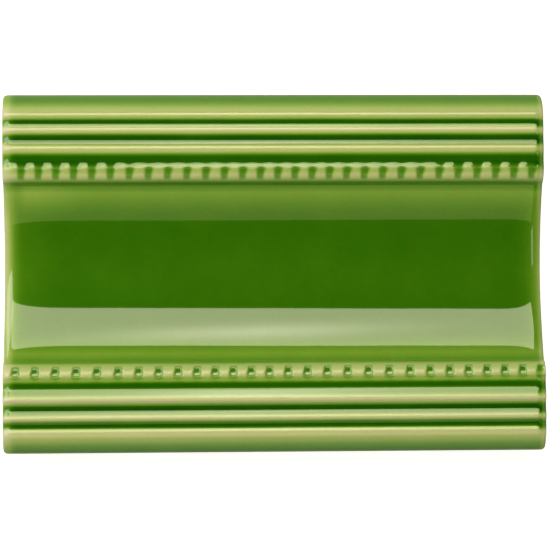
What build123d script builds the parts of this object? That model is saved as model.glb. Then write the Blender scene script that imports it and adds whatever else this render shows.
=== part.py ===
"""Cornice trim tile: one pressed and glazed ceramic piece, lying on its back with its face up.

+X runs along the moulding, +Y across it towards its upper edge, and +Z out of its face.
The origin is the middle of the flat back. All lengths are in millimetres, angles in degrees.
The relief is that of the glazed surface: the thick glaze half fills the grooves of the body.
"""

from build123d import *
import math
import os

# Overall sizes of the fired tile
tile_length = 152.4
tile_width = 101.0
tile_thickness = 18.0

# Cove, the wide hollow along the middle of the face
cove_depth = 8.8
cove_edge_depth = 3.6
cove_corner_radius = 0.8

# Edge bands, from the outer edge inwards; both edges carry the same mouldings
roll_reach = 6.4
roll_flank_width = 1.65
small_reed_width = 4.65
large_reed_width = 6.4
bead_flank_width = 2.3

# Heights of the members above the floors of the grooves between them
roll_rise = 0.5
small_reed_rise = 0.6
large_reed_rise = 0.9
bead_rise = 0.6

# Outer face of the roll: a small nose, a flatter face and a round rim, tangent to each other
roll_nose_radius = 3.0
roll_nose_angle = 22.0
roll_face_radius = 13.3
roll_face_angle = 40.0

# Bead ridge, whose inner side drops to the cove, and the scooped pits that part it into beads
bead_ridge_radius = 4.0
pit_width = 1.8
pit_depth = 0.75
pit_scoop_radius = 4.0
pit_corner_radius = 0.6
pit_lean = 19.0

# Places of the pits: an even pitch that drifts to and fro along the hand-cut mould
drift_wavelength = 79.0
upper_pit_start = 5.48
upper_pit_pitch = 5.1
upper_drift = 0.72
upper_drift_phase = 47.3
lower_pit_start = 4.46
lower_pit_pitch = 5.44
lower_drift = 0.97
lower_drift_phase = 27.8

# Edges and back
end_arris_radius = 1.2
back_bevel = 0.8
key_groove_width = 5.0
key_groove_pitch = 10.0
key_groove_depth = 1.0
key_groove_draft = 20.0
key_margin = 8.0

# Places and levels that follow from the sizes above
half_length = tile_length / 2
half_width = tile_width / 2
groove_level = tile_thickness - large_reed_rise
roll_crest = half_width - roll_reach
first_groove = roll_crest - roll_flank_width
second_groove = first_groove - small_reed_width
third_groove = second_groove - large_reed_width
bead_line = third_groove - bead_flank_width
bead_level = groove_level + bead_rise
pit_reach = bead_ridge_radius + pit_scoop_radius - pit_depth
cove_level = tile_thickness - cove_depth
cove_edge_level = tile_thickness - cove_edge_depth

# Crests and groove floors of one band, as (place, height) from the roll to the bead ridge
band_stops = (
    (roll_crest, groove_level + roll_rise),
    (first_groove, groove_level),
    (first_groove - small_reed_width / 2, groove_level + small_reed_rise),
    (second_groove, groove_level),
    (second_groove - large_reed_width / 2, tile_thickness),
    (third_groove, groove_level),
    (bead_line, bead_level),
)


def pit_places(start, pitch, drift, phase):
    """Middles of one course's pits along X, from the left end to the right end."""
    places = []
    for step in range(int(tile_length / pitch) + 1):
        even = start - half_length + step * pitch
        place = even + drift * math.sin(2 * math.pi * (even - phase) / drift_wavelength)
        if abs(place) < half_length - pit_width / 2:
            places.append(place)
    return places


# Wheel that scoops one pit, turned about X and then set over the ridge
with BuildPart() as pit_wheel:
    with BuildSketch(Plane.XY) as wheel_section:
        Rectangle(pit_width, pit_scoop_radius, align=(Align.CENTER, Align.MIN))
        fillet(wheel_section.vertices().group_by(Axis.Y)[-1], pit_corner_radius)
    revolve(axis=Axis.X)

# Groove in the back, narrower at its floor
with BuildPart() as key_groove:
    with BuildSketch(Plane.XY) as key_mouth:
        Rectangle(tile_length - 2 * key_margin, key_groove_width)
    extrude(amount=key_groove_depth, taper=key_groove_draft)

with BuildPart() as cornice_tile:
    # Section across the tile, drawn for its upper half and mirrored
    with BuildSketch(Plane.YZ) as section:
        with BuildLine() as outline:
            # Roll, from its crest out to the upright rim and down to the back
            nose = JernArc(band_stops[0], (1, 0), roll_nose_radius, -roll_nose_angle)
            face = JernArc(nose @ 1, nose % 1, roll_face_radius, roll_nose_angle - roll_face_angle)
            rim_radius = (half_width - (face @ 1).X) / (1 - math.sin(math.radians(roll_face_angle)))
            rim = JernArc(face @ 1, face % 1, rim_radius, roll_face_angle - 90)
            Polyline(rim @ 1, (half_width, 0), (0, 0))
            # Band, as pairs of arcs that meet halfway between each crest and groove floor
            for (start_place, start_height), (end_place, end_height) in zip(band_stops, band_stops[1:]):
                run = start_place - end_place
                fall = start_height - end_height
                bend_radius = (run**2 + fall**2) / (4 * abs(fall))
                bend_angle = math.degrees(2 * math.atan(fall / run))
                bend = JernArc((start_place, start_height), (-1, 0), bend_radius, bend_angle)
                JernArc(bend @ 1, bend % 1, bend_radius, -bend_angle)
            # Inner side of the bead ridge, and the cove down to the middle of the tile
            ridge_angle = math.degrees(math.acos(1 - (bead_level - cove_edge_level) / bead_ridge_radius))
            ridge = JernArc((bead_line, bead_level), (-1, 0), bead_ridge_radius, ridge_angle)
            cove_edge = ridge @ 1
            cove_rise = cove_edge_level - cove_level
            cove_radius = (cove_edge.X**2 + cove_rise**2) / (2 * cove_rise)
            cove_angle = math.degrees(math.asin(cove_edge.X / cove_radius))
            CenterArc((0, cove_level + cove_radius), cove_radius, -90, cove_angle)
            mirror(about=Plane.YZ)
        make_face()
        cove_corners = section.vertices().filter_by_position(
            Axis.Y, cove_edge_level - 0.001, cove_edge_level + 0.001
        )
        fillet(cove_corners, cove_corner_radius)
    extrude(amount=half_length, both=True)

    # Soft arris all round both ends, above the back
    end_edges = cornice_tile.faces().filter_by(Axis.X).edges()
    fillet(end_edges.filter_by(lambda edge: edge.center().Z > 0.001), end_arris_radius)

    # Pits between the beads
    for side, places in (
        (1, pit_places(upper_pit_start, upper_pit_pitch, upper_drift, upper_drift_phase)),
        (-1, pit_places(lower_pit_start, lower_pit_pitch, lower_drift, lower_drift_phase)),
    ):
        across = side * (bead_line - pit_reach * math.sin(math.radians(pit_lean)))
        height = bead_level - bead_ridge_radius + pit_reach * math.cos(math.radians(pit_lean))
        with Locations(*[(place, across, height) for place in places]):
            add(pit_wheel.part, mode=Mode.SUBTRACT)

    # Back: a bevel all round, and shallow grooves that key it to its bedding
    chamfer(cornice_tile.faces().sort_by(Axis.Z)[0].edges(), back_bevel)
    key_pairs = int((half_width - key_margin) / key_groove_pitch)
    with GridLocations(0, key_groove_pitch, 1, 2 * key_pairs):
        add(key_groove.part, mode=Mode.SUBTRACT)

cornice_tile.part.label = "cornice_tile"
os.makedirs("parts", exist_ok=True)
export_step(cornice_tile.part, "parts/cornice_tile.step")
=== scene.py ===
"""Cornice trim tile in a pooled green glaze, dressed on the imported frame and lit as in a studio.

The tile is drawn in millimetres and built in metres. An inset is a distance across the tile, from
one of its long edges towards the middle, and a tilt is the angle of the surface's normal from
straight up, in degrees, positive where it leans towards the middle of the tile. Side 1 is the
upper half of the face, towards +Y, and side -1 the lower half. End 1 is the right end of the tile,
towards +X, and end -1 the left end.
"""

import math

import bmesh
import bpy
from mathutils import Matrix, Vector, noise


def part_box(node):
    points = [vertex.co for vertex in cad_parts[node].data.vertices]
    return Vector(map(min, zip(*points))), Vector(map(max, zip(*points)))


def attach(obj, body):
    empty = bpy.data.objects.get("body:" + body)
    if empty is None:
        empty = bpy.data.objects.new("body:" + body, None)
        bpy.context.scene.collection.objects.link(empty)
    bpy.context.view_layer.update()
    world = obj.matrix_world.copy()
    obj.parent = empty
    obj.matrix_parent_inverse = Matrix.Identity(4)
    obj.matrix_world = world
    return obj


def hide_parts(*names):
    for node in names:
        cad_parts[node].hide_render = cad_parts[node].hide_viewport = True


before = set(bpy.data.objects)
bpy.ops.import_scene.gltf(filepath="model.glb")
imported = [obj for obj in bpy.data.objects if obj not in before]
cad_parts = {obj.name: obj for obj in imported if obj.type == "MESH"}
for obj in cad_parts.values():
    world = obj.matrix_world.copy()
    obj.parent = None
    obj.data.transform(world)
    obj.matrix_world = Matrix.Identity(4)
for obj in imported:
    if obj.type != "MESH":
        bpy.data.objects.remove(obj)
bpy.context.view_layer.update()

MM = 0.001
node_low, node_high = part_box("cornice_tile")

# Overall sizes, from the frame
tile_length = (node_high[0] - node_low[0]) / MM
tile_width = (node_high[1] - node_low[1]) / MM
tile_thickness = (node_high[2] - node_low[2]) / MM
half_length = tile_length / 2
half_width = tile_width / 2

# Cove
cove_depth = 8.8
cove_edge_depth = 3.6
cove_corner_radius = 0.45

# Edge bands: insets of the crests and groove floors of each side, from the roll to the bead ridge,
# and heights of the crests over the groove floors
band_places = {
    1: (6.58, 8.4, 10.6, 12.8, 15.95, 19.05, 21.5),
    -1: (5.75, 7.75, 9.7, 12.8, 14.9, 19.1, 21.5),
}
crest_rises = {
    1: (0.3, 0.35, 0.55, 0.35),
    -1: (0.35, 0.72, 0.9, 0.5),
}
groove_depth = 0.9
roll_nose_radius = 3.0
roll_nose_tilt = 22.0
roll_face_radius = 13.3
roll_face_tilt = 40.0
bead_ridge_radius = 4.1

# The glaze slumped towards the lower edge in the kiln: of the two arcs that make a flank, the
# crest's share is larger where the flank faces the upper edge than where it faces the lower one.
# The inner flanks of the lower side's two reeds are straight where they reach their steepest tilt
upper_facing_crest = 0.3
lower_facing_crest = 0.12
no_limit = 90.0
inner_flank_tilts = {1: (no_limit, no_limit, no_limit), -1: (no_limit, 19.3, 17.0)}

# Pits between the beads: how deep they are along their length, by how far past the ridge's crest
# a place lies. In the upper course the glaze runs to the cove and fills their inner ends, in the
# lower one it stands level in them
pit_profile = {
    1: (
        (-0.8, 0.0), (-0.4, 0.1), (0.0, 0.25), (0.5, 0.31), (1.2, 0.29),
        (2.0, 0.19), (2.7, 0.06), (3.1, 0.0),
    ),
    -1: (
        (-0.5, 0.0), (-0.3, 0.08), (0.0, 0.44), (0.2, 0.51), (0.5, 0.57), (0.8, 0.6), (1.1, 0.6),
        (1.3, 0.575), (1.5, 0.53), (1.8, 0.435), (2.1, 0.315), (2.4, 0.17), (2.65, 0.02), (2.7, 0.0),
    ),
}
pit_half_widths = {1: 0.9, -1: 0.98}
pit_side_powers = {1: 4.0, -1: 7.0}
pit_flares = {1: 0.22, -1: 0.18}
pit_flare_end = 1.9
pit_slants = {1: -0.2, -1: 0.08}
pit_slant_range = (0.5, 2.0)
pit_arch = 0.4
pit_arch_half_width = 1.2
pit_arch_range = (-0.4, 0.8)

# Places of the pits: an even pitch that drifts to and fro along the hand-cut mould
drift_wavelength = 79.0
courses = {
    1: {"start": 5.48, "pitch": 5.1, "drift": 0.72, "phase": 47.3},
    -1: {"start": 4.46, "pitch": 5.44, "drift": 0.97, "phase": 27.8},
}

# Dip in the ridge's outer side beside a pit, where the pool of the groove creeps up
shoulder_dip = 0.045
shoulder_width = 3.0
shoulder_place = -0.9
shoulder_reach = 0.8
pool_creep = 0.15

# Near both ends the pits of the upper course run out through the ridge's outer side: ranges from
# an end and past the crest, the level that is left over the groove floors, and the glaze there
run_out_along = {-1: (42.0, 26.0), 1: (34.0, 26.0)}
run_out_inner = (0.2, 1.0)
run_out_outer = (-2.4, -1.6)
run_out_level = 0.07
run_out_blend = 0.08
run_out_glaze = 1.1

# The beads are lumpy, by ranges past the crest, and the glaze in the pits is smooth up to its rim
lumpy_from = (-1.2, -0.2)
lumpy_to = (2.6, 3.4)
pit_gloss = {1: 0.2, -1: 0.9}
pit_rim = (2.0, 2.5)

# Ends: a soft arris, as its reach along the tile and its depth, over the face and round the sides
arris_reach = 3.0
arris_depth = 1.1
side_arris_reach = 1.3
side_arris_depth = 0.95

# How far the cove sinks near an end, by the place across the tile, and how that fades inwards
cove_sinks = {
    -1: ((-25.0, 0.2), (-14.5, 0.034), (1.0, 0.261), (25.0, 0.035)),
    1: ((-25.0, 0.1), (-15.5, -0.03), (-4.0, 0.29), (14.0, 0.09), (25.0, -0.04)),
}
sink_edge = 25.0
sink_end = 27.5
left_sink_scale = 2.0
left_sink_reach = 4.3
right_sink_scale = 1.7
right_sink_reach = 3.0
right_sink_blur = 1.6

# Blobs of glaze that close the grooves at the right end
blob_start = 3.2
blob_full_form = 1.8
blob_full_glaze = 1.5
blob_shift = 0.4
blob_swell = 0.12
blob_overhang = 0.5
blob_widening = 0.45

# Hand-made waviness: how far the glaze's bands wander, and how deep the surface ripples
wander = 0.07
wander_length = 24.0
wander_width = 7.0
wander_seed = 3.1
ripple = 0.010
ripple_length = 18.0
ripple_seed = 8.7

# Back
back_bevel = 0.8
key_groove_width = 5.0
key_groove_pitch = 10.0
key_groove_depth = 1.0
key_groove_draft = 20.0
key_margin = 8.0

# Mesh: lengths of the steps across the face, numbers of steps down the long sides and the ends and
# along the tile, how far round a bead ridge's crest the rows have every station, and the digits to
# which the corners of the back are told apart
band_step = 0.25
corner_step = 0.12
cove_step = 1.15
side_steps = {1: 7, -1: 8}
end_steps = 7
coarse_stations = 136
fine_ratio = 4
arris_steps = 12
end_stations = 24
fine_outside = 2.6
fine_inside = 4.0
corner_digits = 4

# Levels that follow
groove_level = tile_thickness - groove_depth
cove_level = tile_thickness - cove_depth
cove_edge_level = tile_thickness - cove_edge_depth
run_out_floor = groove_level + run_out_level

# Glaze depth, as how strongly it tints: pools in the grooves as inset, half width and depth, the
# roll's glaze as thin, thick, place and spread, and the rest as stops by inset, by distance past
# the ridge's crest or, as a share of the full depth, by distance from an end. The depth is partly
# painted shade in three places: the lower roll's rim, the upper side's corner between the bead
# ridge and the cove, and the very edge of the right end
pools = {
    1: ((8.3, 0.7, 3.6), (12.86, 1.0, 4.1), (18.75, 1.35, 3.9)),
    -1: ((7.95, 0.86, 4.1), (12.67, 0.94, 4.05), (18.94, 0.8, 3.7)),
}
pool_power = 4
# The lower roll's rim is given deeper glaze than the upper one's: partly pooled glaze, partly painted
# shade on a rim that faces away from the key softbox
roll_glaze_and_shade = {1: (0.38, 2.1, 3.15, 0.72), -1: (0.06, 2.7, 2.55, 1.05)}
roll_end = (8.0, 9.0)
face_glaze_and_shade = {
    1: (
        (8.7, 0.6), (9.2, 1.0), (9.8, 0.3), (10.4, 0.05), (11.5, 0.03), (13.2, 0.35), (13.7, 1.0),
        (14.2, 1.0), (14.9, 0.3), (15.5, 0.15), (16.6, 0.05), (19.6, 0.06), (20.4, 0.55),
        (20.9, 0.5), (21.3, 0.42), (21.8, 0.6), (22.3, 0.6), (22.8, 0.42), (23.3, 0.33),
        # Deepest in the corner between the bead ridge and the cove: partly pooled glaze, partly
        # painted shade under the ridge
        (23.7, 0.4), (24.3, 0.65), (24.8, 1.08), (25.3, 1.85), (25.75, 2.9), (26.3, 2.75),
        (27.0, 1.95), (28.0, 1.58), (34.5, 2.95), (50.0, 2.95),
    ),
    -1: (
        (8.7, 0.05), (9.9, 0.03), (10.3, 0.15), (10.6, 0.6), (10.9, 1.15), (11.4, 1.3), (12.0, 0.8),
        (13.0, 0.0), (14.9, 0.05), (15.4, 0.25), (15.9, 0.75), (16.3, 1.55), (16.8, 2.0), (17.4, 1.9),
        (17.9, 1.1), (18.4, 0.45), (19.0, 0.05), (19.5, 0.15), (19.9, 0.5), (20.4, 0.95),
        (20.9, 0.95), (21.5, 0.5), (22.0, 0.35), (22.8, 0.45), (23.3, 0.5), (23.7, 0.6), (24.2, 0.7),
        (24.7, 0.75), (25.2, 1.4), (25.7, 2.1), (26.5, 1.75), (27.4, 1.45), (28.0, 1.45),
        (34.5, 2.95), (50.0, 2.95),
    ),
}
pit_glaze = {
    1: (
        (-1.4, 0.0), (-0.95, 0.2), (-0.5, 0.7), (-0.1, 1.65), (0.8, 1.8),
        (1.3, 1.7), (2.2, 1.7), (2.7, 1.1), (3.2, 0.0),
    ),
    -1: (
        (-1.3, 0.0), (-0.6, 0.8), (0.3, 0.95), (0.8, 1.15), (1.3, 1.7),
        (1.8, 2.1), (2.5, 1.6), (3.0, 0.0),
    ),
}
end_glaze_and_shade = {
    -1: ((0.0, 0.3), (0.5, 0.48), (1.4, 0.54), (1.9, 0.57), (2.4, 0.74), (3.2, 0.93), (4.0, 1.0)),
    # Deeper again right at the edge of the right end: partly glaze, partly painted shade along that
    # edge
    1: ((0.0, 0.85), (0.4, 0.65), (0.8, 0.5), (1.2, 0.6), (1.6, 0.85), (2.0, 1.0)),
}
cove_end_glaze = {
    -1: (
        (0.0, 0.13), (0.8, 0.17), (1.4, 0.21), (1.9, 0.33), (2.5, 0.47),
        (3.1, 0.62), (5.0, 0.85), (9.0, 0.93), (17.0, 1.0),
    ),
    1: (
        (0.0, 0.25), (0.5, 0.28), (1.0, 0.38), (1.5, 0.5), (2.2, 0.62),
        (3.5, 0.8), (6.0, 0.95), (10.0, 1.0),
    ),
}
cove_glaze_start = (26.0, 36.0)

# Thinner glaze over the cove's upper edge near the left end, as ranges from the end and of insets
baring = 0.25
baring_along = ((3.0, 7.0), (9.0, 26.0))
baring_across = ((25.0, 26.5), (28.0, 37.0))

# Material; the glaze line is given in millimetres below the rim of the face, and a grain is a
# noise's scale per metre, its detail and its roughness
body_colours = ((0.62, 0.578, 0.40, 1), (0.665, 0.53, 0.405, 1))
biscuit_colours = ((0.46, 0.36, 0.25, 1), (0.62, 0.52, 0.39, 1))
glaze_tint = (0.97, 0.465, 1.82)
glaze_ior = 1.5
glaze_roughness = 0.035
thin_glaze_roughness = 0.22
thin_glaze_depths = (0.2, 0.9)
bead_roughness = 0.3
biscuit_roughness = 0.85
biscuit_bump = 0.8
biscuit_bump_height = 0.0002
glaze_line = 7.5
glaze_line_sway = 3.0
glaze_line_width = 0.35
glaze_line_bead = 1.2
mottle = 0.08
fleck_range = (0.5, 0.68)
mottle_grain = (95.0, 3.0, 0.5)
fleck_grain = (800.0, 2.0, 0.5)
sway_grain = (60.0, 2.0, 0.5)
biscuit_grain = (420.0, 6.0, 0.7)
speck_grain = (1100.0, 4.0, 0.5)
grain_middle = 0.5

# Lamps: tilt from straight up and heading from the +Y side in degrees, distance and size in
# metres, radiance and colour
lamps = {
    "key_softbox": (27.5, -4.4, 0.9, (0.70, 0.289), 1.0, (1.0, 1.0, 1.0)),
    "warm_reflector": (-34.7, 0, 0.9, (0.62, 0.37), 1.2, (1.0, 1.0, 0.35)),
    "left_softbox": (43.5, -66, 0.8, (0.36, 0.46), 5.0, (1.0, 1.0, 0.97)),
    "right_strip": (29, 112, 0.9, (0.28, 0.09), 3.0, (1.0, 1.0, 0.9)),
}

# Key softbox: radiances of its cloth and of the bulb's glow behind it, and the glow's place and
# spread in metres
cloth_radiance = (6.9, 6.4, 4.3, 1)
bulb_radiance = (4.7, 4.2, 3.6, 1)
bulb_middle = (0.022, 0.45)
bulb_spread = (0.062, 0.038)
bulb_slant = -0.61

# Studio: pale walls round a dark ceiling, with the angles from straight up where the ceiling ends
# and how the walls' level changes towards +X and +Y
ceiling_edge = (49.0, 60.0)
wall_level = 0.74
wall_slopes = (-0.2, -0.04)
white = (1, 1, 1, 1)

# Floor, with its reach in metres
floor_reach = 3.0
floor_colour = (0.65, 0.65, 0.65, 1)
floor_roughness = 0.9
floor_glow = 0.8

# Camera, almost straight above the face, with its places in metres
camera_place = Vector((-0.02567, -0.01975, 0.61958))
camera_aim = Vector((-0.00036, -0.00059, 0.018))
camera_roll = 0.332
camera_lens = 141.45
camera_sensor = 36.0


def smooth(low, high, value):
    """Ease from 0 at low to 1 at high."""
    t = min(max((value - low) / (high - low), 0.0), 1.0)
    return t * t * (3 - 2 * t)


def hill(rise, fall, value):
    """Ease from 0 to 1 over one range and back to 0 over another."""
    return smooth(*rise, value) * (1 - smooth(*fall, value))


def curve(stops, value):
    """Smooth line through a list's stops, level beyond its ends."""
    if value <= stops[0][0]:
        return stops[0][1]
    for k in range(len(stops) - 1):
        low, before = stops[k]
        high, after = stops[k + 1]
        if value < high:
            break
    else:
        return stops[-1][1]
    slopes = []
    for m in (k, k + 1):
        if m in (0, len(stops) - 1):
            slopes.append(0.0)
        else:
            (x0, y0), (x2, y2) = stops[m - 1], stops[m + 1]
            slopes.append((y2 - y0) / (x2 - x0))
    span = high - low
    t = (value - low) / span
    rise = t * t * (3 - 2 * t)
    bend = span * t * (1 - t) * ((1 - t) * slopes[0] - t * slopes[1])
    return before + (after - before) * rise + bend


def wavy(first, second, seed):
    """Smooth noise between -1 and 1 in two directions."""
    return noise.noise(Vector((first, second, seed)))


def facing(tilt):
    """Outward normal, as (inset, height), of a surface at a tilt."""
    return math.sin(math.radians(tilt)), math.cos(math.radians(tilt))


class Pen:
    """Draws a section as tangent arcs and straight runs, and keeps points at an even step."""

    def __init__(self, inset, height, tilt):
        self.inset = inset
        self.height = height
        self.tilt = tilt
        self.points = [(inset, height, tilt)]

    def turn(self, radius, tilt, step=band_step):
        """Arc to a new tilt; a growing tilt rounds a crest and a falling one rounds a hollow."""
        side = 1 if tilt > self.tilt else -1
        lean, rise = facing(self.tilt)
        centre = (self.inset - side * radius * lean, self.height - side * radius * rise)
        count = max(1, round(radius * math.radians(abs(tilt - self.tilt)) / step))
        start = self.tilt
        for k in range(1, count + 1):
            self.tilt = start + (tilt - start) * k / count
            lean, rise = facing(self.tilt)
            self.inset = centre[0] + side * radius * lean
            self.height = centre[1] + side * radius * rise
            self.points.append((self.inset, self.height, self.tilt))

    def run(self, length, step=band_step):
        """Straight run at the tilt reached."""
        count = max(1, round(length / step))
        lean, rise = facing(self.tilt)
        for _ in range(count):
            self.inset += length / count * rise
            self.height -= length / count * lean
            self.points.append((self.inset, self.height, self.tilt))

    def flank(self, width, rise, crest_share, steepest=no_limit):
        """Side of a member from level to level, as two arcs with a straight run between them where
        they would pass the steepest tilt; rise is signed."""
        radii = (width**2 + rise**2) / (2 * abs(rise))
        tilt = math.degrees(2 * math.atan(abs(rise) / width))
        run = 0.0
        if tilt > steepest:
            tilt = steepest
            lean, up = facing(tilt)
            radii = (width * lean - abs(rise) * up) / (1 - up)
            run = (abs(rise) - (1 - up) * radii) / lean
        shares = (1 - crest_share, crest_share) if rise > 0 else (crest_share, 1 - crest_share)
        self.turn(shares[0] * radii, -math.copysign(tilt, rise))
        if run:
            self.run(run)
        self.turn(shares[1] * radii, 0)


def draw_roll(side):
    """Pen that has drawn the roll, from the rim of one long edge to the roll's crest."""
    nose = facing(roll_nose_tilt)
    face = facing(roll_face_tilt)
    across = roll_nose_radius * nose[0] + roll_face_radius * (face[0] - nose[0])
    rim_radius = (band_places[side][0] - across) / (1 - face[0])
    drop = roll_nose_radius * (1 - nose[1])
    drop += roll_face_radius * (nose[1] - face[1])
    drop += rim_radius * face[1]
    pen = Pen(0.0, groove_level + crest_rises[side][0] - drop, -90.0)
    pen.turn(rim_radius, -roll_face_tilt)
    pen.turn(roll_face_radius, -roll_nose_tilt)
    pen.turn(roll_nose_radius, 0.0)
    return pen


def draw_members(pen, side):
    """Flanks of the members, from the roll's crest to the bead ridge's crest."""
    places = band_places[side]
    rises = crest_rises[side]
    outer, inner = lower_facing_crest, upper_facing_crest
    if side > 0:
        outer, inner = inner, outer
    for step, (start, end) in enumerate(zip(places, places[1:])):
        if step % 2 == 0:
            member = step // 2
            pen.flank(end - start, -rises[member], inner, inner_flank_tilts[side][member])
        else:
            pen.flank(end - start, rises[(step + 1) // 2], outer)


def draw_cove(pen, side):
    """Inner side of the bead ridge, rounded corner and cove; the corner touches both circles."""
    crest = band_places[side][-1]
    bead_level = groove_level + crest_rises[side][-1]
    ridge_centre = Vector((crest, bead_level - bead_ridge_radius))
    ridge_fall = bead_level - cove_edge_level
    edge_lean = math.sqrt(bead_ridge_radius**2 - (bead_ridge_radius - ridge_fall) ** 2)
    edge_reach = half_width - crest - edge_lean
    cove_rise = cove_edge_level - cove_level
    cove_radius = (edge_reach**2 + cove_rise**2) / (2 * cove_rise)
    cove_centre = Vector((half_width, cove_level + cove_radius))
    gap = cove_centre - ridge_centre
    near = bead_ridge_radius + cove_corner_radius
    far = cove_radius - cove_corner_radius
    along = (gap.length**2 + near**2 - far**2) / (2 * gap.length)
    aside = math.sqrt(near**2 - along**2)
    unit = gap.normalized()
    corner_centre = ridge_centre + unit * along + Vector((unit.y, -unit.x)) * aside
    from_ridge = corner_centre - ridge_centre
    to_cove = cove_centre - corner_centre
    pen.turn(bead_ridge_radius, math.degrees(math.atan2(from_ridge.x, from_ridge.y)))
    pen.turn(cove_corner_radius, math.degrees(math.atan2(to_cove.x, to_cove.y)), corner_step)
    pen.turn(cove_radius, 0.0, cove_step)


def half_section(side):
    """Points of the face from the rim of one long edge to the middle of the cove."""
    pen = draw_roll(side)
    draw_members(pen, side)
    draw_cove(pen, side)
    return pen.points


def pit_places(start, pitch, drift, phase):
    """Middles of a course's pits along the tile, from its left end."""
    places = []
    for step in range(int(tile_length / pitch) + 1):
        even = start - half_length + step * pitch
        place = even + drift * math.sin(2 * math.pi * (even - phase) / drift_wavelength)
        if abs(place) < half_length - pit_half_widths[1]:
            places.append(place)
    return places


pits = {side: pit_places(**course) for side, course in courses.items()}


def from_pit(side, along):
    """Distance along the tile to the nearest pit's middle."""
    return min(abs(along - place) for place in pits[side])


def pit_spread(side, from_middle, past_crest):
    """Share of a pit's depth at a distance from its middle, whatever the place along its length."""
    half = pit_half_widths[side] + pit_flares[side] * max(0.0, pit_flare_end - past_crest)
    return math.exp(-abs(from_middle / half) ** pit_side_powers[side])


def arched(from_middle, past_crest):
    """Place along a pit, held back beside its middle so that its outer end is an arch."""
    beside = min(1.0, (from_middle / pit_arch_half_width) ** 2)
    return past_crest - pit_arch * beside * (1 - smooth(*pit_arch_range, past_crest))


def shoulder_share(from_middle, past_crest):
    """Share of the dip in the ridge's outer side beside a pit."""
    along = (2 * from_middle / shoulder_width) ** 2
    across = ((past_crest - shoulder_place) / shoulder_reach) ** 2
    return math.exp(-along - across)


def glaze_over(side, inset, along):
    """Depth of the glaze between the ends and outside the pits, in places partly painted shade."""
    thin, thick, place, spread = roll_glaze_and_shade[side]
    depth = thick / (1 + math.exp((inset - place) / spread))
    blob = smooth(half_length - blob_start, half_length - blob_full_glaze, along)
    for middle, half, pool in pools[side]:
        middle += side * blob_shift * blob
        half *= 1 + blob_widening * blob
        depth += pool / (1 + (abs(inset - middle) / half) ** pool_power)
    return depth + thin + (curve(face_glaze_and_shade[side], inset) - thin) * smooth(*roll_end, inset)


def bead_strip(side, inset, height, along, wandered):
    """How far the glaze draws in on a bead ridge, its depth there and how lumpy it is."""
    past_crest = inset - band_places[side][-1]
    beside = from_pit(side, along - pit_slants[side] * smooth(*pit_slant_range, past_crest))
    place = arched(beside, past_crest)
    shoulder = shoulder_share(beside, past_crest)
    spread = pit_spread(side, beside, past_crest)
    draw = curve(pit_profile[side], place)
    in_pit = curve(pit_glaze[side], place)
    if side > 0:
        from_end = half_length - abs(along)
        ended = smooth(*run_out_along[-1 if along < 0 else 1], from_end)
        ended *= 1 - smooth(*run_out_inner, past_crest)
        cut = ended * max(0.0, height - run_out_floor)
        blend = run_out_blend * ended
        draw = (draw + cut + math.hypot(draw - cut, blend) - blend) / 2
        in_pit = max(in_pit, ended * run_out_glaze * smooth(*run_out_outer, past_crest))
    glaze = glaze_over(side, wandered - pool_creep * shoulder, along) + in_pit * spread
    gloss = pit_gloss[side] * spread**2 * (1 - smooth(*pit_rim, place))
    lumps = hill(lumpy_from, lumpy_to, past_crest) * (1 - gloss)
    return draw * spread + shoulder_dip * shoulder, glaze, lumps


def arris_draw(along, lean):
    """How far the arris draws the surface in, at a place near an end."""
    reach = arris_reach + (side_arris_reach - arris_reach) * abs(lean)
    depth = arris_depth + (side_arris_depth - arris_depth) * abs(lean)
    past = abs(along) - (half_length - reach)
    if past <= 0:
        return 0.0
    return depth * (1 - math.sqrt(max(0.0, 1 - (past / reach) ** 2)))


def cove_sink(side, across, end, from_end):
    """How far the cove has sunk near an end of the tile."""
    if end < 0:
        fade = left_sink_scale * math.exp(-from_end / left_sink_reach)
    else:
        fade = right_sink_scale / (1 + math.exp((from_end - right_sink_reach) / right_sink_blur))
    sink = curve(cove_sinks[end], side * min(across, sink_edge))
    return fade * sink * (1 - smooth(sink_edge, sink_end, across))


def blob_rise(side, inset, along):
    """How far the blobs in the grooves stand up at the right end."""
    blob = smooth(half_length - blob_start, half_length - blob_full_form, along)
    rise = 0.0
    for middle, half, _ in pools[side]:
        aside = (inset - middle - side * blob_shift) / (half + blob_overhang)
        rise += blob_swell * blob * math.exp(-(aside**2))
    return rise


def end_share(side, inset, end, from_end):
    """Share of the glaze's depth left near an end, partly painted shade at the right edge."""
    share = curve(end_glaze_and_shade[end], from_end)
    share += (curve(cove_end_glaze[end], from_end) - share) * smooth(*cove_glaze_start, inset)
    if side > 0 and end < 0:
        share *= 1 - baring * hill(*baring_along, from_end) * hill(*baring_across, inset)
    return share


def glazed_point(side, inset, height, tilt, along, in_bead_strip):
    """Point of the glazed surface, the glaze's depth there and how lumpy it is."""
    lean, rise = facing(tilt)
    across = half_width - inset
    from_end = half_length - abs(along)
    end = -1 if along < 0 else 1
    wandered = inset + wander * wavy(along / wander_length, inset / wander_width, wander_seed + side)
    if in_bead_strip:
        draw, glaze, lumps = bead_strip(side, inset, height, along, wandered)
    else:
        draw, glaze, lumps = 0.0, glaze_over(side, wandered, along), 0.0
    swing = wavy(along / ripple_length, side * across / ripple_length, ripple_seed)
    draw += ripple * (1 - swing) * rise

    # Pits and ripples go in along the normal. An end draws the roll in along the normal too, and
    # the rest of the face straight down
    aim = (lean, rise) if inset < band_places[side][0] else (0.0, 1.0)
    sunk = cove_sink(side, across, end, from_end) - blob_rise(side, inset, along)
    sunk += arris_draw(along, aim[0])
    reach = side * (across + draw * lean + sunk * aim[0])
    level = height - draw * rise - sunk * aim[1]
    return (along, reach, level), glaze * end_share(side, inset, end, from_end), lumps


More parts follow.
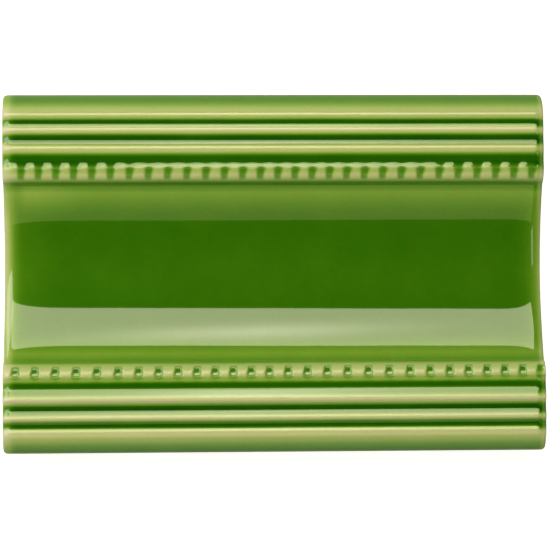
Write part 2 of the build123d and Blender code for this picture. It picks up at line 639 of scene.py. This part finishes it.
def build_rows():
    """Rows of the outline, from the foot of the upper side over the face to the other foot."""
    rows = []
    for side in (1, -1):
        points = half_section(side)
        rim_height = points[0][1]
        steps = side_steps[side]
        wall = []
        for k in range(steps):
            wall.append((0.0, back_bevel + (rim_height - back_bevel) * k / steps, -90.0))
        half = [(side, *point) for point in wall + points]
        rows += half if side > 0 else half[:-1][::-1]
    return rows


def place_stations():
    """Places along the tile, close together over the arrises and evenly spaced between them."""
    flat = half_length - arris_reach
    steps = coarse_stations * fine_ratio
    stations = []
    for k in range(arris_steps):
        stations.append(-half_length + arris_reach * (1 - math.cos(math.pi / 2 * k / arris_steps)))
    for k in range(steps + 1):
        stations.append(-flat + 2 * flat * k / steps)
    for k in range(1, arris_steps + 1):
        stations.append(flat + arris_reach * math.sin(math.pi / 2 * k / arris_steps))
    return stations


class Shell:
    """Vertices and faces of the tile's surface, with what its material reads at each vertex."""

    def __init__(self):
        self.rows = build_rows()
        self.stations = place_stations()
        self.fine = [self.is_fine(side, inset) for side, inset, _, _ in self.rows]
        self.coarse_columns = self.find_coarse_columns()
        self.first_face_row = side_steps[1]
        self.last_face_row = len(self.rows) - 1 - side_steps[-1]
        self.points = []
        self.glazes = []
        self.drops = []
        self.lumps = []
        self.faces = []
        self.grid = {}

    def is_fine(self, side, inset):
        """Whether a row runs through the beads and has every station."""
        crest = band_places[side][-1]
        return crest - fine_outside <= inset <= crest + fine_inside

    def find_coarse_columns(self):
        """Stations that every row has: all of them near the ends, and one in a few elsewhere."""
        last_flat = len(self.stations) - 1 - arris_steps
        columns = []
        for j in range(len(self.stations)):
            from_flat = min(j - arris_steps, last_flat - j)
            if from_flat < end_stations or (j - arris_steps) % fine_ratio == 0:
                columns.append(j)
        return columns

    def add(self, point, glaze, drop, lumps=0.0):
        """Number of a new vertex, with its glaze and its drop below the rim of the face."""
        self.points.append(point)
        self.glazes.append(glaze)
        self.drops.append(drop)
        self.lumps.append(lumps)
        return len(self.points) - 1

    def between(self, i, low, high):
        """Vertices of a row from one station to another, with the fine ones where it has them."""
        steps = range(low, high + 1) if self.fine[i] else (low, high)
        return [self.grid[(i, j)] for j in steps]

    def lay_face(self):
        """Face and long sides, row by row."""
        rim_height = self.rows[self.first_face_row][2]
        for i, (side, inset, height, tilt) in enumerate(self.rows):
            drop = max(0.0, rim_height - height)
            for j in range(len(self.stations)) if self.fine[i] else self.coarse_columns:
                along = self.stations[j]
                point, glaze, lumps = glazed_point(side, inset, height, tilt, along, self.fine[i])
                self.grid[(i, j)] = self.add(point, glaze, drop, lumps)
        for i in range(len(self.rows) - 1):
            both_fine = self.fine[i] and self.fine[i + 1]
            columns = range(len(self.stations)) if both_fine else self.coarse_columns
            for low, high in zip(columns, columns[1:]):
                self.faces.append(self.between(i, low, high)[::-1] + self.between(i + 1, low, high))

    def end_column(self, i, j):
        """Vertices from the edge of the face down to the foot, shared with a long side at a corner.

        The lower side has one step more than the ends, so its corners' columns stop a step above
        the foot, which leaves a slit under 0.01 mm wide there.
        """
        if i == self.first_face_row:
            return [self.grid[(i - k, j)] for k in range(end_steps + 1)]
        if i == self.last_face_row:
            return [self.grid[(i + k, j)] for k in range(end_steps + 1)]
        top = self.grid[(i, j)]
        x, y, height = self.points[top]
        column = [top]
        for k in range(1, end_steps + 1):
            level = height + (back_bevel - height) * k / end_steps
            column.append(self.add((x, y, level), self.glazes[top], height - level))
        return column

    def close_end(self, end):
        """Upright wall of one end, and the vertices of its foot between the corners."""
        j = 0 if end < 0 else len(self.stations) - 1
        face_rows = range(self.first_face_row, self.last_face_row + 1)
        columns = [self.end_column(i, j) for i in face_rows]
        for here, there in zip(columns, columns[1:]):
            for k in range(end_steps):
                corners = [here[k], there[k], there[k + 1], here[k + 1]]
                self.faces.append(corners if end > 0 else corners[::-1])
        return [column[-1] for column in columns[1:-1]]

    def bevel_foot(self, left_foot, right_foot):
        """Bevel round the foot, and the edges of the back inside it."""
        last_row = len(self.rows) - 1
        foot_ring = [self.grid[(0, j)] for j in self.coarse_columns] + right_foot
        foot_ring += [self.grid[(last_row, j)] for j in reversed(self.coarse_columns)]
        foot_ring += left_foot[::-1]
        back_ring = []
        corners = {}
        for number in foot_ring:
            x, y, _ = self.points[number]
            x = max(back_bevel - half_length, min(half_length - back_bevel, x))
            y = max(back_bevel - half_width, min(half_width - back_bevel, y))
            key = (round(x, corner_digits), round(y, corner_digits))
            if key not in corners:
                corners[key] = self.add((x, y, 0.0), 0.0, tile_thickness)
            back_ring.append(corners[key])
        for k in range(len(foot_ring)):
            a, b = foot_ring[k - 1], foot_ring[k]
            c, d = back_ring[k], back_ring[k - 1]
            self.faces.append([a, b, c, d] if c != d else [a, b, c])
        return [(a, b) for a, b in zip(back_ring, back_ring[1:] + back_ring[:1]) if a != b]

    def sink_key_groove(self, middle):
        """One groove that keys the back to its bedding, and the edges of its mouth."""
        shrink = key_groove_depth * math.tan(math.radians(key_groove_draft))
        rings = []
        for level, less in ((0.0, 0.0), (key_groove_depth, shrink)):
            ring = []
            for sx, sy in ((-1, -1), (1, -1), (1, 1), (-1, 1)):
                x = sx * (half_length - key_margin - less)
                y = middle + sy * (key_groove_width / 2 - less)
                ring.append(self.add((x, y, level), 0.0, tile_thickness))
            rings.append(ring)
        mouth, bottom = rings
        for k in range(4):
            self.faces.append([mouth[k - 1], mouth[k], bottom[k], bottom[k - 1]])
        self.faces.append(bottom)
        return [(mouth[k - 1], mouth[k]) for k in range(4)]

    def to_mesh(self, smooth_faces, back_edges):
        """Mesh in metres, with the back filled in between the given edges."""
        mesh = bpy.data.meshes.new("glazed_tile")
        mesh.from_pydata([(x * MM, y * MM, z * MM) for x, y, z in self.points], [], self.faces)
        readings = {"glaze_depth_and_shade": self.glazes, "below_face": self.drops, "lumps": self.lumps}
        for name, values in readings.items():
            mesh.attributes.new(name, "FLOAT", "POINT").data.foreach_set("value", values)
        form = bmesh.new()
        form.from_mesh(mesh)
        form.verts.ensure_lookup_table()
        for number, face in enumerate(form.faces):
            face.smooth = number < smooth_faces
        edges = [form.edges.get((form.verts[a], form.verts[b])) for a, b in back_edges]
        bmesh.ops.triangle_fill(form, edges=edges, use_beauty=True)
        bmesh.ops.recalc_face_normals(form, faces=form.faces)
        form.to_mesh(mesh)
        form.free()
        mesh.validate()
        return mesh


def make_tile():
    """Glazed tile as one mesh."""
    shell = Shell()
    shell.lay_face()
    left_foot = shell.close_end(-1)
    right_foot = shell.close_end(1)
    smooth_faces = len(shell.faces)
    back_edges = shell.bevel_foot(left_foot, right_foot)
    pairs = int((half_width - key_margin) / key_groove_pitch)
    for step in range(-pairs, pairs):
        back_edges += shell.sink_key_groove((step + 0.5) * key_groove_pitch)
    tile = bpy.data.objects.new("glazed_tile", shell.to_mesh(smooth_faces, back_edges))
    bpy.context.collection.objects.link(tile)
    return tile


class Graph:
    """Nodes of one shader, with short ways to add and join them."""

    def __init__(self, tree):
        self.nodes = tree.nodes
        self.links = tree.links

    def add(self, kind, **settings):
        """New shader node with its settings."""
        node = self.nodes.new("ShaderNode" + kind)
        for name, value in settings.items():
            setattr(node, name, value)
        return node

    def feed(self, socket, value):
        """Number, colour or another node's output into a socket."""
        if isinstance(value, bpy.types.NodeSocket):
            self.links.new(value, socket)
        else:
            socket.default_value = value

    def math(self, operation, *values):
        """Math node's result."""
        node = self.add("Math", operation=operation)
        for socket, value in zip(node.inputs, values):
            self.feed(socket, value)
        return node.outputs[0]

    def ramp(self, value, start, stop, low=0.0, high=1.0, easing="LINEAR"):
        """Value that goes from low to high as another goes from start to stop."""
        node = self.add("MapRange", interpolation_type=easing)
        self.feed(node.inputs["Value"], value)
        self.feed(node.inputs["From Min"], start)
        self.feed(node.inputs["From Max"], stop)
        self.feed(node.inputs["To Min"], low)
        self.feed(node.inputs["To Max"], high)
        return node.outputs["Result"]

    def mix(self, share, first, second):
        """Colour that goes from the first to the second."""
        node = self.add("Mix", data_type="RGBA")
        self.feed(node.inputs["Factor"], share)
        self.feed(node.inputs["A"], first)
        self.feed(node.inputs["B"], second)
        return node.outputs["Result"]

    def grain(self, scale, detail, roughness):
        """Noise between 0 and 1 over the object."""
        texture = self.add("TexNoise")
        self.feed(texture.inputs["Vector"], self.add("TexCoord").outputs["Object"])
        self.feed(texture.inputs["Scale"], scale)
        self.feed(texture.inputs["Detail"], detail)
        self.feed(texture.inputs["Roughness"], roughness)
        return texture.outputs["Fac"]

    def attribute(self, name):
        """Reading of the mesh."""
        return self.add("Attribute", attribute_name=name).outputs["Fac"]

    def axes(self, vector):
        """X, Y and Z of a vector."""
        split = self.add("SeparateXYZ")
        self.feed(split.inputs[0], vector)
        return split.outputs


def glazed_colour(graph, below):
    """Buff body with a fine pinkish fleck, seen through the glaze; the glaze is mottled like cloud
    and has a bead along its lower edge. The glaze's depth also holds some painted shade."""
    cloud = graph.math("SUBTRACT", graph.grain(*mottle_grain), grain_middle)
    uneven = graph.math("ADD", graph.math("MULTIPLY", cloud, 2 * mottle), 1.0)
    past = graph.math("SUBTRACT", below, glaze_line)
    past = graph.math("MULTIPLY", past, past)
    bead = graph.math("EXPONENT", graph.math("MULTIPLY", past, -glaze_line_bead))
    depth = graph.math("MULTIPLY", graph.attribute("glaze_depth_and_shade"), uneven)
    depth = graph.math("ADD", depth, bead)
    fleck = graph.ramp(graph.grain(*fleck_grain), *fleck_range)
    body = graph.add("SeparateColor")
    graph.feed(body.inputs[0], graph.mix(fleck, *body_colours))
    shown = graph.add("CombineColor")
    for socket, channel, tint in zip(shown.inputs, body.outputs, glaze_tint):
        passed = graph.math("EXPONENT", graph.math("MULTIPLY", depth, -tint))
        graph.feed(socket, graph.math("MULTIPLY", passed, channel))
    return shown.outputs["Color"]


def surface_roughness(graph, bare):
    """Glossy where the glaze is deep, less so where it is thin or lumpy, and dull where it is bare."""
    thin = graph.ramp(
        graph.attribute("glaze_depth_and_shade"), *thin_glaze_depths, thin_glaze_roughness, glaze_roughness
    )
    lumpy = graph.math("MULTIPLY", graph.attribute("lumps"), bead_roughness)
    glazed = graph.math("MAXIMUM", lumpy, thin)
    return graph.ramp(bare, 0.0, 1.0, glazed, biscuit_roughness)


def glaze_material():
    """Transparent green glaze over a buff body, and bare body below an uneven line and on the back."""
    material = bpy.data.materials.new("green_glaze")
    material.use_nodes = True
    graph = Graph(material.node_tree)
    shader = graph.nodes["Principled BSDF"]
    sway = graph.math("SUBTRACT", graph.grain(*sway_grain), grain_middle)
    sway = graph.math("MULTIPLY", sway, 2 * glaze_line_sway)
    below = graph.math("ADD", graph.attribute("below_face"), sway)
    line_end = glaze_line + glaze_line_width
    bare = graph.ramp(below, glaze_line, line_end, easing="SMOOTHSTEP")
    biscuit = graph.mix(graph.grain(*biscuit_grain), *biscuit_colours)
    colour = graph.mix(bare, glazed_colour(graph, below), biscuit)
    bump = graph.add("Bump")
    graph.feed(bump.inputs["Distance"], biscuit_bump_height)
    graph.feed(bump.inputs["Height"], graph.grain(*speck_grain))
    graph.feed(bump.inputs["Strength"], graph.math("MULTIPLY", bare, biscuit_bump))
    graph.feed(shader.inputs["Base Color"], colour)
    graph.feed(shader.inputs["Roughness"], surface_roughness(graph, bare))
    graph.feed(shader.inputs["IOR"], glaze_ior)
    graph.feed(shader.inputs["Normal"], bump.outputs["Normal"])
    return material


def hang_lamp(name, tilt, heading, distance, size, radiance, colour):
    """Area lamp that faces the tile."""
    data = bpy.data.lights.new(name, "AREA")
    data.shape = "RECTANGLE"
    data.size = size[0]
    data.size_y = size[1]
    data.energy = radiance * math.pi * size[0] * size[1]
    data.color = colour
    lamp = bpy.data.objects.new(name, data)
    lean = math.radians(tilt)
    turn = math.radians(heading)
    away = Vector((math.sin(lean) * math.sin(turn), math.sin(lean) * math.cos(turn), math.cos(lean)))
    lamp.location = away * distance
    lamp.rotation_euler = away.to_track_quat("Z", "Y").to_euler()
    lamp.visible_camera = False
    bpy.context.collection.objects.link(lamp)
    return data


def put_bulb_behind_cloth(data):
    """Softbox whose cloth is brighter before the bulb, in a slanting oval."""
    data.use_nodes = True
    graph = Graph(data.node_tree)
    cloth = graph.nodes["Emission"]
    graph.feed(cloth.inputs["Color"], cloth_radiance)
    place = graph.axes(graph.add("NewGeometry").outputs["Position"])
    far = graph.math("SUBTRACT", place["Y"], bulb_middle[1])
    wide = graph.math("SUBTRACT", place["X"], bulb_middle[0])
    wide = graph.math("SUBTRACT", wide, graph.math("MULTIPLY", far, bulb_slant))
    squares = []
    for distance, reach in ((wide, bulb_spread[0]), (far, bulb_spread[1])):
        scaled = graph.math("DIVIDE", distance, reach)
        squares.append(graph.math("MULTIPLY", scaled, scaled))
    halved = graph.math("MULTIPLY", graph.math("ADD", *squares), -0.5)
    bulb = graph.add("Emission")
    graph.feed(bulb.inputs["Color"], bulb_radiance)
    graph.feed(bulb.inputs["Strength"], graph.math("EXPONENT", halved))
    both = graph.add("AddShader")
    graph.feed(both.inputs[0], cloth.outputs[0])
    graph.feed(both.inputs[1], bulb.outputs[0])
    graph.feed(graph.nodes["Light Output"].inputs[0], both.outputs[0])


def build_the_studio():
    """World that is white to the camera, and a dark ceiling between pale walls to the tile."""
    world = bpy.data.worlds.new("pale_studio")
    bpy.context.scene.world = world
    world.use_nodes = True
    graph = Graph(world.node_tree)
    graph.nodes.clear()
    place = graph.axes(graph.add("TexCoord").outputs["Generated"])
    inner, outer = (math.cos(math.radians(angle)) for angle in ceiling_edge)
    opening = graph.ramp(place["Z"], outer, inner, 1.0, 0.0, easing="SMOOTHSTEP")
    level = wall_level
    for axis, slope in (("Y", wall_slopes[1]), ("X", wall_slopes[0])):
        level = graph.math("ADD", graph.math("MULTIPLY", place[axis], slope), level)
    walls = graph.add("Background")
    graph.feed(walls.inputs["Color"], white)
    graph.feed(walls.inputs["Strength"], graph.math("MULTIPLY", level, opening))
    backdrop = graph.add("Background")
    graph.feed(backdrop.inputs["Color"], white)
    pick = graph.add("MixShader")
    graph.feed(pick.inputs["Fac"], graph.add("LightPath").outputs["Is Camera Ray"])
    graph.feed(pick.inputs[1], walls.outputs["Background"])
    graph.feed(pick.inputs[2], backdrop.outputs["Background"])
    graph.feed(graph.add("OutputWorld").inputs["Surface"], pick.outputs["Shader"])


def floor_material():
    """Matt grey that glows to the camera, so that the floor reads as white and keeps a shadow."""
    material = bpy.data.materials.new("pale_floor")
    material.use_nodes = True
    graph = Graph(material.node_tree)
    shader = graph.nodes["Principled BSDF"]
    graph.feed(shader.inputs["Base Color"], floor_colour)
    graph.feed(shader.inputs["Roughness"], floor_roughness)
    glow = graph.add("Emission")
    graph.feed(glow.inputs["Strength"], floor_glow)
    total = graph.add("AddShader")
    graph.feed(total.inputs[0], shader.outputs["BSDF"])
    graph.feed(total.inputs[1], glow.outputs["Emission"])
    pick = graph.add("MixShader")
    graph.feed(pick.inputs["Fac"], graph.add("LightPath").outputs["Is Camera Ray"])
    graph.feed(pick.inputs[1], shader.outputs["BSDF"])
    graph.feed(pick.inputs[2], total.outputs["Shader"])
    graph.feed(graph.nodes["Material Output"].inputs["Surface"], pick.outputs["Shader"])
    return material


def lay_the_floor():
    """Pale floor under the tile."""
    mesh = bpy.data.meshes.new("floor")
    signs = ((-1, -1), (1, -1), (1, 1), (-1, 1))
    mesh.from_pydata([(x * floor_reach, y * floor_reach, 0) for x, y in signs], [], [(0, 1, 2, 3)])
    mesh.materials.append(floor_material())
    floor = bpy.data.objects.new("floor", mesh)
    bpy.context.collection.objects.link(floor)


def set_the_camera():
    """Camera at the photograph's viewing angle."""
    data = bpy.data.cameras.new("camera")
    data.lens = camera_lens
    data.sensor_width = camera_sensor
    camera = bpy.data.objects.new("camera", data)
    bpy.context.collection.objects.link(camera)
    look = (camera_aim - camera_place).normalized()
    turn = math.radians(camera_roll)
    right = look.cross(Vector((math.sin(turn), math.cos(turn), 0))).normalized()
    up = right.cross(look)
    axes = Matrix((right, up, -look)).transposed()
    camera.matrix_world = Matrix.Translation(camera_place) @ axes.to_4x4()
    bpy.context.scene.camera = camera


tile = make_tile()
tile.data.materials.append(glaze_material())
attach(tile, "root")
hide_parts("cornice_tile")
lay_the_floor()
lights = {name: hang_lamp(name, *settings) for name, settings in lamps.items()}
put_bulb_behind_cloth(lights["key_softbox"])
build_the_studio()
set_the_camera()
bpy.context.scene.view_settings.view_transform = "Standard"
